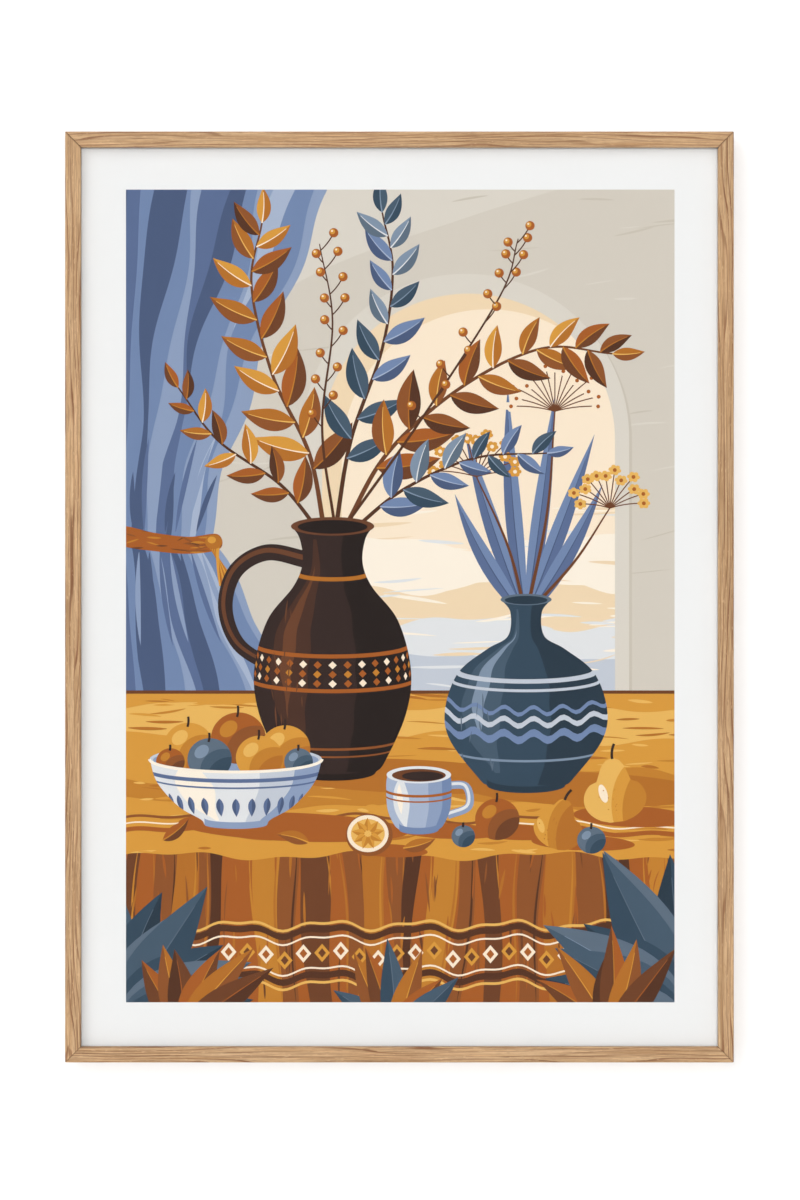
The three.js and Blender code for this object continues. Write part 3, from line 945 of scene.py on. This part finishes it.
def topShapes(places):
    # the last shape painted over each place, where the shape's own clip holds the place too
    owner = np.zeros(len(places), int)
    clips = {clip: None for _, _, clip in shapes if clip is not None}
    order = np.argsort(places[:, 0])
    sortedX = places[order, 0]
    for k, (outline, _, clip) in enumerate(shapes):
        (left, bottom), (right, top) = outline.min(0), outline.max(0)
        first, last = np.searchsorted(sortedX, (left, right))
        near = order[first:last]
        near = near[(places[near, 1] > bottom) & (places[near, 1] < top)]
        hit = near[insideOf(places[near], outline)]
        if k in clips:
            clips[k] = np.zeros(len(places), bool)
            clips[k][hit] = True
        if clip is not None:
            hit = hit[clips[clip][hit]]
        owner[hit] = k
    return owner


def triangulate(points, edges):
    # triangles between all the points, cut along the edges, which may cross
    lines = ([Vector(p) for p in points.tolist()], edges.tolist(), [])
    found = delaunay_2d_cdt(*lines, 0, sheet["weld"], False)
    return np.array([tuple(v) for v in found[0]]), np.array(found[2])


def inkOf(points, triangles):
    # each triangle's ink, by its middle. The first ink is the margin's.
    centres = points[triangles].mean(1)
    inPicture = np.all((centres > 0) & (centres < (picture["width"], picture["height"])), axis=1)
    inkByShape = np.array([list(inks).index(ink) for _, ink, _ in shapes])
    return np.where(inPicture, inkByShape[topShapes(centres)], 0)


def flatPrint(sheetOutline):
    # every outline is an edge of the first triangulation, and only edges between two inks stay in the second
    outlines = [sheetOutline, box(0, 0, picture["width"], picture["height"])] + [s[0] for s in shapes]
    counts = np.array([len(o) for o in outlines])
    starts = np.concatenate([[0], np.cumsum(counts)[:-1]])
    nextPoint = [s + (np.arange(n) + 1) % n for s, n in zip(starts, counts)]
    edges = np.column_stack([np.arange(counts.sum()), np.concatenate(nextPoint)])
    points, triangles = triangulate(np.vstack(outlines), edges)
    ink = inkOf(points, triangles)
    sides = np.sort(triangles[:, [[0, 1], [1, 2], [2, 0]]].reshape(-1, 2), axis=1)
    unique, which = np.unique(sides, axis=0, return_inverse=True)
    which = which.ravel()
    lowest, highest = np.full(len(unique), len(inks)), np.full(len(unique), -1)
    np.minimum.at(lowest, which, np.repeat(ink, 3))
    np.maximum.at(highest, which, np.repeat(ink, 3))
    outside = np.bincount(which, minlength=len(unique)) == 1
    points, triangles = triangulate(points, unique[(lowest != highest) | outside])
    # points closer than a thousandth of a millimetre become one, and triangles that close up by it go
    points, same = np.unique(points.round(3), axis=0, return_inverse=True)
    triangles = same.ravel()[triangles]
    corners = np.sort(triangles, axis=1)
    which, uses = np.unique(corners, axis=0, return_inverse=True, return_counts=True)[1:]
    triangles = triangles[np.all(np.diff(corners) > 0, axis=1) & (uses[which.ravel()] == 1)]
    used, triangles = np.unique(triangles, return_inverse=True)
    points, triangles = points[used], triangles.reshape(-1, 3)
    return points, triangles, inkOf(points, triangles)


def inkMaterial(name, hexColour):
    # matt ink on paper, whose tooth is a fine noise in its roughness and its bump
    colour = tuple(v / sheet["lightOnPrint"] for v in linear(hexColour))
    material, tree, shader = newMaterial("ink" + name[0].upper() + name[1:], colour, 0.6)
    shader.inputs["Specular IOR Level"].default_value = 0.25
    place = objectMillimetres(tree)
    tooth = noise(place, 1 / sheet["toothSize"], 4.0, 0.6)
    plug(shader.inputs["Roughness"], times(tooth, 0.16, times(noise(place, 0.05), 0.10, 0.52)))
    bumpFrom(shader, tooth, 0.35, sheet["toothDepth"])
    return material


def printMap(mesh, flat, outline, triangles):
    # the front fills the map's left side, the back lies small beside it, and the thin sides are strips
    size = np.ptp(outline[:, 1]) * 1.02
    front = (flat[triangles] - outline[0]) / size + 0.005
    side = np.array([(0.73, 0), (0.735, 0), (0.735, 0.4), (0.73, 0.4)])
    sides = [side + (0.015 * k, 0.5) for k in range(4)]
    back = np.array([(0, 0.36), (0.26, 0.36), (0.26, 0), (0, 0)]) + (0.73, 0.05)
    places = np.concatenate([front.reshape(-1, 2), *sides, back])
    mesh.uv_layers.new(name="OFBake").data.foreach_set("uv", places.ravel())


def printedSheet():
    # the front is the flat print, and four corners behind it close the sheet
    lowest, highest, _ = boxOf("printed_sheet")
    wide, tall = (highest - lowest)[[0, 2]] / mm
    left = (wide - picture["width"]) / 2 + sheet["pictureShift"][0]
    bottom = (tall - picture["height"]) / 2 + sheet["pictureShift"][1]
    outline = box(-left, -bottom, wide - left, tall - bottom)
    wholePicture()
    flat, triangles, ink = flatPrint(outline)
    front = np.column_stack([lowest[0] + (flat[:, 0] + left) * mm, np.full(len(flat), lowest[1]),
                             lowest[2] + (flat[:, 1] + bottom) * mm])
    corner = [int(np.argmin(np.linalg.norm(flat - c, axis=1))) for c in outline]
    back = front[corner] + (0, highest[1] - lowest[1], 0)
    n = len(front)
    faces = triangles.tolist()
    faces += [[corner[k], n + k, n + (k + 1) % 4, corner[(k + 1) % 4]] for k in range(4)]
    faces.append([n + 3, n + 2, n + 1, n])
    materials = [inkMaterial(name, colour) for name, colour in inks.items()]
    mesh = pieceFrom("print", "printed_sheet", np.vstack([front, back]), faces, materials,
                     slots=np.concatenate([ink, np.zeros(5, int)]))
    printMap(mesh, flat, outline, triangles)
    print("print", len(shapes), "shapes,", len(triangles), "triangles")


printedSheet()


# Clear pane

pane = {
    "tint": (0.995, 0.997, 0.996),
    "ior": 1.49,
    "shine": 0.55,   # share of the plain surface's reflection that is left
    "smear": (0.02, 0.02, 0.05),
}


def paneMaterial():
    # clear, with a share of a real pane's reflection, which grows at a low angle. Only the side that faces
    # the eye reflects, so no light is held inside the pane.
    material = bpy.data.materials.new("clearPane")
    material.use_nodes = True
    tree = material.node_tree
    tree.nodes.clear()
    smear = noise(objectMillimetres(tree, "XYZ", pane["smear"]), 1.0, 4.0, 0.6)
    through = node(tree, "ShaderNodeBsdfTransparent", Color=(*pane["tint"], 1))
    gloss = node(tree, "ShaderNodeBsdfGlossy", Color=(1, 1, 1, 1), Roughness=times(smear, 0.05, 0.02))
    behind = node(tree, "ShaderNodeNewGeometry").outputs["Backfacing"]
    mirror = node(tree, "ShaderNodeFresnel", IOR=pane["ior"])
    share = times(mirror.outputs[0], times(behind, -pane["shine"], pane["shine"]))
    node(tree, "ShaderNodeOutputMaterial", Surface=mixShaders(share, through, gloss))
    return material


def dress(nodeName, material):
    # a CAD node keeps its mesh, and its object takes the material
    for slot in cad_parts[nodeName].material_slots:
        slot.link = "OBJECT"
        slot.material = material


dress("pane", paneMaterial())


# Hardboard back

board = {
    "light": "8C6747",
    "dark": "6A4930",
    "fibres": ("5A3F2A", "AD8B68"),   # in turn
    "fibreLayers": 8,
    "fibreShare": 0.42,
    "fibreShape": (4.0, 0.7, 0.55),   # mm
    "fibreCurl": 9,                   # mm
    "grainSize": 1.1,                 # mm
}


def boardMaterial():
    # pressed grain, and layers of fibres: stretched noises that lie every way and are curled by a slow one
    material, tree, shader = newMaterial("hardboard", linear(board["light"]), 0.62)
    place = objectMillimetres(tree)
    pressed = noise(place, 1 / board["grainSize"], 6.0, 0.72)
    colour = mixColours(ramp(pressed, (0.34, 0), (0.66, 1)), linear(board["dark"]), linear(board["light"]))
    warp = (noise(place, 0.12, output="Color"), (board["fibreCurl"],) * 3, place)
    curled = joining("ShaderNodeVectorMath", warp, operation="MULTIPLY_ADD")[0]
    for k in range(board["fibreLayers"]):
        lay = node(tree, "ShaderNodeMapping", vector_type="TEXTURE", Vector=curled, Scale=board["fibreShape"],
                   Location=(17.0 * k, 0, 5.0 * k), Rotation=(0, 0.39 * k + 0.2, 0))
        mask = ramp(noise(lay.outputs[0], 1.0), (0.62, 0), (0.70, 1))
        colour = mixColours(times(mask, board["fibreShare"]), colour, linear(board["fibres"][k % 2]))
    cloudy = ramp(noise(place, 0.02, 5.0, 0.6), (0.3, 0.94), (0.7, 1.06))
    plug(shader.inputs["Base Color"], mixColours(1.0, colour, cloudy, "MULTIPLY"))
    plug(shader.inputs["Roughness"], times(pressed, 0.3, 0.42))
    bumpFrom(shader, pressed, 0.4, 0.08 * mm)
    return material


dress("back_board", boardMaterial())
print("pane and board")


# Steel points, hangers and rivets

# each metal's bright and dark colour, its roughness and the axes along and across which it was drawn
metals = {
    "zincSteel": ("B4B7B8", "8C9092", 0.34, "XZY"),
    "brassedSteel": ("C2A868", "8F7640", 0.36, "XZY"),
    "brassedSteelUpright": ("C2A868", "8F7640", 0.36, "ZXY"),
    "rivetSteel": ("C2A868", "8F7640", 0.30, "XYZ"),
}


def metalMaterial(name):
    # half drawn lines, half patches, in its colour and its roughness
    bright, dark, roughness, order = metals[name]
    material, tree, shader = newMaterial(name, linear(bright), roughness, 1.0)
    drawn = noise(objectMillimetres(tree, order, (0.08, 4.0, 4.0)), 1.0, 4.0, 0.6)
    mask = times(drawn, 0.5, times(noise(objectMillimetres(tree), 0.35, 4.0, 0.6), 0.5))
    colour = mixColours(ramp(mask, (0.38, 0), (0.62, 1)), linear(dark), linear(bright))
    plug(shader.inputs["Base Color"], colour)
    plug(shader.inputs["Roughness"], times(mask, 0.30, roughness - 0.15))
    bumpFrom(shader, drawn, 0.3, 0.02 * mm)
    return material


def plateAlong(x, half, middle, thickness, rise, edge):
    # a bent strip of plate: at each x a flat slot with rounded corners, 2 half wide about its middle in z and
    # moved by rise in y. Two more points near each corner keep the flat sides flat in the shading.
    table = []
    for side, top in ((1, 1), (-1, 1), (-1, -1), (1, -1)):
        corner = [(side * a, top * b, side, top, 0) for a, b in arc(0, 0, 1, 0, 90, 4)]
        corner.append((0, top, side, top, 1))
        table += corner if side == top else corner[::-1]
    across, up, sideSign, upSign, inner = np.array(table, float).T
    slope = np.gradient(rise, x)[:, None]
    x, half, middle, rise = (v[:, None] for v in (x, half, middle, rise))
    e = np.minimum(edge, 0.48 * np.minimum(half, thickness / 2))
    inset = np.minimum(1.6 * edge, 0.5 * (half - e))
    z = middle + sideSign * (half - e - inner * inset) + across * e
    n = upSign * (thickness / 2 - e) + up * e + thickness / 2
    length = np.sqrt(1 + slope**2)
    return np.stack([x - slope / length * n, rise + n / length, z], -1)


def outwards(points, faces):
    # turns every face of a closed body round if the volume under its quads comes out negative
    quads = points[np.array([f for f in faces if len(f) == 4])] - points.mean(0)
    a, b, c, d = quads.transpose(1, 0, 2)
    volume = np.einsum("ij,ij", a, np.cross(b, c)) + np.einsum("ij,ij", a, np.cross(c, d))
    return faces if volume > 0 else [f[::-1] for f in faces]


def platePiece(name, nodeName, grid, turn, middle, material, smoothDegrees):
    # a strip of plate with its ends closed, turned about Y and moved to its middle, flat on its node's front
    rows, columns = grid.shape[:2]
    last = (rows - 1) * columns
    faces = gridFaces(rows, columns).tolist()
    faces += [list(range(columns))[::-1], [last + k for k in range(columns)]]
    c, s = math.cos(turn), math.sin(turn)
    x, y, z = grid[..., 0], grid[..., 1], grid[..., 2]
    points = np.stack([middle[0] + x * c + z * s, y, middle[1] - x * s + z * c], -1).reshape(-1, 3)
    points = points + (0, boxOf(nodeName)[0][1], 0)
    pieceFrom(name, nodeName, points, outwards(points, faces), [material], smoothDegrees)


steelPoint = {
    "width": 8 * mm,
    "root": 3 * mm,
    "reach": 13 * mm,
    "shoulder": 4 * mm,
    "tip": 2.6 * mm,
    "thickness": 0.6 * mm,
    "edge": 0.12 * mm,
    "lift": 0.35 * mm,   # the tip stands off the board
    # each side's turn about Y, and the way its points reach
    "top": (math.pi / 2, 0, -1),
    "right": (math.pi, -1, 0),
    "bottom": (-math.pi / 2, 0, 1),
    "left": (0.0, 1, 0),
}


def pointGrid():
    # half width: constant to the shoulder, a straight taper, then a round tip. It rises as x squared.
    p = steelPoint
    shoulder, tip, halfRoot = p["shoulder"], p["tip"], p["width"] / 2
    tipStart = p["reach"] - tip
    x = np.concatenate([np.linspace(-p["root"], shoulder, 8)[:-1], np.linspace(shoulder, tipStart, 8)[:-1],
                        tipStart + tip * np.sin(np.linspace(0, np.pi / 2, 9))[:-1] * 0.999])
    half = np.where(x < shoulder, halfRoot, np.interp(x, [shoulder, tipStart], [halfRoot, tip]))
    roundTip = np.sqrt(np.clip(tip**2 - np.clip(x - tipStart, 0, None)**2, 0, None))
    half = np.where(x > tipStart, roundTip, half)
    rise = p["lift"] * np.clip(x / p["reach"], 0, 1)**2
    return plateAlong(x, half, np.zeros_like(x), p["thickness"], rise, p["edge"])


def steelPoints():
    # one bent plate for every node, its root in the rail
    zinc = metalMaterial("zincSteel")
    grid = pointGrid()
    toRoot = (steelPoint["reach"] - steelPoint["root"]) / 2
    nodeNames = sorted(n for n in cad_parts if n.startswith("point_"))
    for nodeName in nodeNames:
        _, side, number = nodeName.split("_")
        turn, u, v = steelPoint[side]
        centre = boxOf(nodeName)[2]
        start = (centre[0] - u * toRoot, centre[2] - v * toRoot)
        platePiece("point" + side.capitalize() + number, nodeName, grid, turn, start, zinc, 40)
    print("points", len(nodeNames))


hanger = {
    "length": 62 * mm,
    "width": 11 * mm,
    "thickness": 0.8 * mm,
    "edge": 0.16 * mm,
    "corner": 3 * mm,
    "foot": 10 * mm,
    "ramp": 4 * mm,
    "toothPitch": 3 * mm,
    "toothTip": 0.4 * mm,
    "toothCount": 11,
    "toothDepth": 1.6 * mm,
    "bend": 0.9 * mm,    # half length of the rounding where the strip bends
}


def hangerGrid(standOff):
    # rise: feet at 0, a straight ramp and a flat middle, averaged over the bend's length. The lower edge has
    # a triangle cut for each notch, and both edges follow a circle at the corners.
    h = hanger
    end, corner, depth = h["length"] / 2, h["corner"], h["toothDepth"]
    footEnd = end - h["foot"]
    topEnd = footEnd - h["ramp"]
    apexes = (np.arange(h["toothCount"]) - (h["toothCount"] - 1) / 2) * h["toothPitch"]
    notchHalf = (h["toothPitch"] - h["toothTip"]) / 2
    rounding = end - corner * (1 - np.sin(np.linspace(0, np.pi / 2, 9)))
    marks = [apexes - notchHalf, apexes, apexes + notchHalf, np.linspace(-end, end, 81), rounding, -rounding]
    x = np.unique(np.round(np.concatenate(marks), 6))
    spread = np.linspace(-h["bend"], h["bend"], 9)
    rise = np.interp(np.abs(x[:, None] + spread), [topEnd, footEnd], [standOff, 0.0]).mean(1)
    inset = corner - np.sqrt(np.clip(corner**2 - np.clip(np.abs(x) - (end - corner), 0, None)**2, 0, None))
    notch = np.clip(1 - np.abs(x[:, None] - apexes) / notchHalf, 0, 1).max(1) * depth
    lowEdge = -depth + np.maximum(notch, inset)
    highEdge = h["width"] - depth - inset
    return plateAlong(x, (highEdge - lowEdge) / 2, (highEdge + lowEdge) / 2, h["thickness"], rise, h["edge"])


rivet = {
    "shank": 1.5 * mm,
    "head": 2.8 * mm,
    "rim": 0.25 * mm,
    "headHeight": 1.3 * mm,
    "dimple": 0.7 * mm,
    "segments": 40,
}


def lathe(profile, count):
    # a profile of radius and height that starts and ends on the axis, turned about Y
    radius, height = np.asarray(profile, float)[1:-1].T
    a = np.linspace(0, 2 * np.pi, count, endpoint=False)
    r = radius[:, None]
    rings = np.stack([r * np.cos(a), height[:, None] * np.ones(count), r * np.sin(a)], -1)
    points = np.vstack([rings.reshape(-1, 3), (0, profile[0][1], 0), (0, profile[-1][1], 0)])
    faces = gridFaces(len(radius), count).tolist()
    first, last = len(points) - 2, len(points) - 1
    top = (len(radius) - 1) * count
    faces += [[first, (k + 1) % count, k] for k in range(count)]
    faces += [[last, top + k, top + (k + 1) % count] for k in range(count)]
    return points, faces


def rivetPiece(name, nodeName, material):
    # a shank, a low dome of an ellipse's arc and a dimple in its top
    lowest, highest, centre = boxOf(nodeName)
    shank, head, dimple = rivet["shank"], rivet["head"], rivet["dimple"]
    base = highest[1] - rivet["headHeight"] - rivet["rim"]
    a = np.linspace(0, 0.88, 9) * np.pi / 2
    dome = np.column_stack([head * np.cos(a), base + rivet["rim"] + rivet["headHeight"] * np.sin(a)])
    top = dome[-1, 1]
    profile = [(0, lowest[1]), (shank, lowest[1]), (shank, base), (head * 0.96, base), *map(tuple, dome),
               (dimple * 0.6, top), (dimple * 0.35, top - 0.15 * mm), (0, top - 0.2 * mm)]
    points, faces = lathe(profile, rivet["segments"])
    points = points + (centre[0], 0, centre[2])
    pieceFrom(name, nodeName, points, outwards(points, faces), [material], 35)


def hangersAndRivets():
    # a hanger for each way up, with a rivet at both ends
    rivetSteel = metalMaterial("rivetSteel")
    lift = hanger["width"] / 2 - hanger["toothDepth"]
    kinds = (("portrait", 0.0, "brassedSteel"), ("landscape", math.pi / 2, "brassedSteelUpright"))
    for name, turn, metal in kinds:
        lowest, highest, centre = boxOf("hanger_" + name)
        place = (centre[0] - lift * math.sin(turn), centre[2] - lift * math.cos(turn))
        grid = hangerGrid(highest[1] - lowest[1] - hanger["thickness"])
        platePiece("hanger" + name.capitalize(), "hanger_" + name, grid, turn, place,
                   metalMaterial(metal), 35)
        for k in (1, 2):
            rivetPiece(f"rivet{name.capitalize()}{k}", f"rivet_{name}_{k}", rivetSteel)
    print("hangers and rivets")


steelPoints()
hangersAndRivets()


# Wall, floor, light and camera

studio = {
    "wallColour": (0.95, 0.95, 0.95),
    "wallGlow": 0.08,
    "wallGap": 0.3 * mm,
    "floorColour": (0.80, 0.79, 0.78),
    "wallHalfWidth": 3.0,
    "wallAbove": 1.6,
    "floorBelow": 1.55,      # from the origin
    "screenDistance": 5.0,
    "screenGlow": 0.72,
    "worldColour": (1.0, 0.998, 0.993),
    "world": 0.20,
    # each lamp: the direction it shines from, its strength, the angle it spans, and if gloss shows it
    "key": ((-0.62, -1.0, 0.62), 1.2, 54, True),
    "front": ((0.03, -1.0, 0.05), 1.55, 18, False),
    "side": ((0.7, -1.0, -0.45), 0.5, 30, False),
    "back": ((0.30, 1.0, 0.40), 2.8, 30, True),
    "backFill": ((-0.5, 1.0, -0.15), 1.0, 60, True),
}


def backdropMaterial(name, colour, glow=None):
    # painted and slightly uneven. A backdrop that glows is clear from behind.
    material, tree, shader = newMaterial(name, colour, 0.9)
    bumpFrom(shader, noise(objectMillimetres(tree), 0.35, 3.0), 0.08, 0.3 * mm)
    if glow is not None:
        plug(shader.inputs["Emission Color"], (1, 1, 1))
        plug(shader.inputs["Emission Strength"], glow)
        behind = node(tree, "ShaderNodeNewGeometry").outputs["Backfacing"]
        clear = node(tree, "ShaderNodeBsdfTransparent")
        plug(tree.nodes["Material Output"].inputs["Surface"], mixShaders(behind, shader, clear))
    return material


def backdrop(name, corners, material, *unseenBy):
    # a plane of the set, that the named kinds of rays don't meet
    mesh = bpy.data.meshes.new(name)
    mesh.from_pydata(corners, [], [(0, 1, 2, 3)])
    mesh.materials.append(material)
    plane = bpy.data.objects.new(name, mesh)
    scene.collection.objects.link(plane)
    for ray in unseenBy:
        setattr(plane, "visible_" + ray, False)


def softLamp(name, direction, strength, angle, inGloss):
    # parallel light that is as soft as the angle it spans
    lamp = bpy.data.lights.new(name, "SUN")
    lamp.energy, lamp.angle = strength, math.radians(angle)
    light = bpy.data.objects.new(name, lamp)
    light.location = Vector((middleX, 0, middleZ)) + Vector(direction) * 3
    light.rotation_euler = (-Vector(direction)).to_track_quat("-Z", "Y").to_euler()
    light.visible_glossy = inGloss
    scene.collection.objects.link(light)


def studioSet():
    # a wall just behind the frame, a floor, lamps and an even world
    w, top, gap = studio["wallHalfWidth"], studio["wallAbove"], studio["wallGap"]
    floor = -studio["floorBelow"]
    backdrop("wall", [(-w, gap, floor), (w, gap, floor), (w, gap, top), (-w, gap, top)],
             backdropMaterial("wallPaint", studio["wallColour"], studio["wallGlow"]), "shadow", "diffuse")
    # pale screens all round face inwards. Only the camera sees them, and only from inside.
    s = studio["screenDistance"]
    corners = [(-s, -s), (s, -s), (s, s), (-s, s)]
    pale = backdropMaterial("screenPaint", (0, 0, 0), studio["screenGlow"])
    for k in range(4):
        a, b = corners[(k + 1) % 4], corners[k]
        screen = [(*a, floor), (*b, floor), (*b, s), (*a, s)]
        backdrop("screen" + str(k), screen, pale, "shadow", "diffuse", "glossy")
    floorPaint = backdropMaterial("floorPaint", studio["floorColour"])
    backdrop("floor", [(*corner, floor) for corner in corners], floorPaint)
    for name in ("key", "front", "side", "back", "backFill"):
        softLamp(name, *studio[name])
    scene.world = bpy.data.worlds.new("studioWorld")
    scene.world.use_nodes = True
    air = scene.world.node_tree.nodes["Background"]
    plug(air.inputs["Color"], studio["worldColour"])
    plug(air.inputs["Strength"], studio["world"])


shot = {
    "lens": 100.0,
    "sensor": 36.0,
    "frameWidthPixels": 668.9,    # the frame's outer width in the photograph
    "frameMiddlePixels": (399.45, 597.0),
    "imagePixels": (800, 1200),
}


def photoCamera():
    # straight on: the distance at which the frame's front is as wide in the image as in the photograph
    perPixel = outer[0] / shot["frameWidthPixels"]
    distance = shot["lens"] * shot["imagePixels"][1] * perPixel / shot["sensor"]
    right, down = (shot["imagePixels"][k] / 2 - shot["frameMiddlePixels"][k] for k in (0, 1))
    data = bpy.data.cameras.new("camera")
    data.lens, data.sensor_width = shot["lens"], shot["sensor"]
    camera = bpy.data.objects.new("camera", data)
    camera.location = (middleX + right * perPixel, low[1] - distance, middleZ - down * perPixel)
    camera.rotation_euler = (math.pi / 2, 0, 0)
    scene.collection.objects.link(camera)
    scene.camera = camera


studioSet()
photoCamera()
scene.view_settings.view_transform = "Standard"
print("studio and camera")
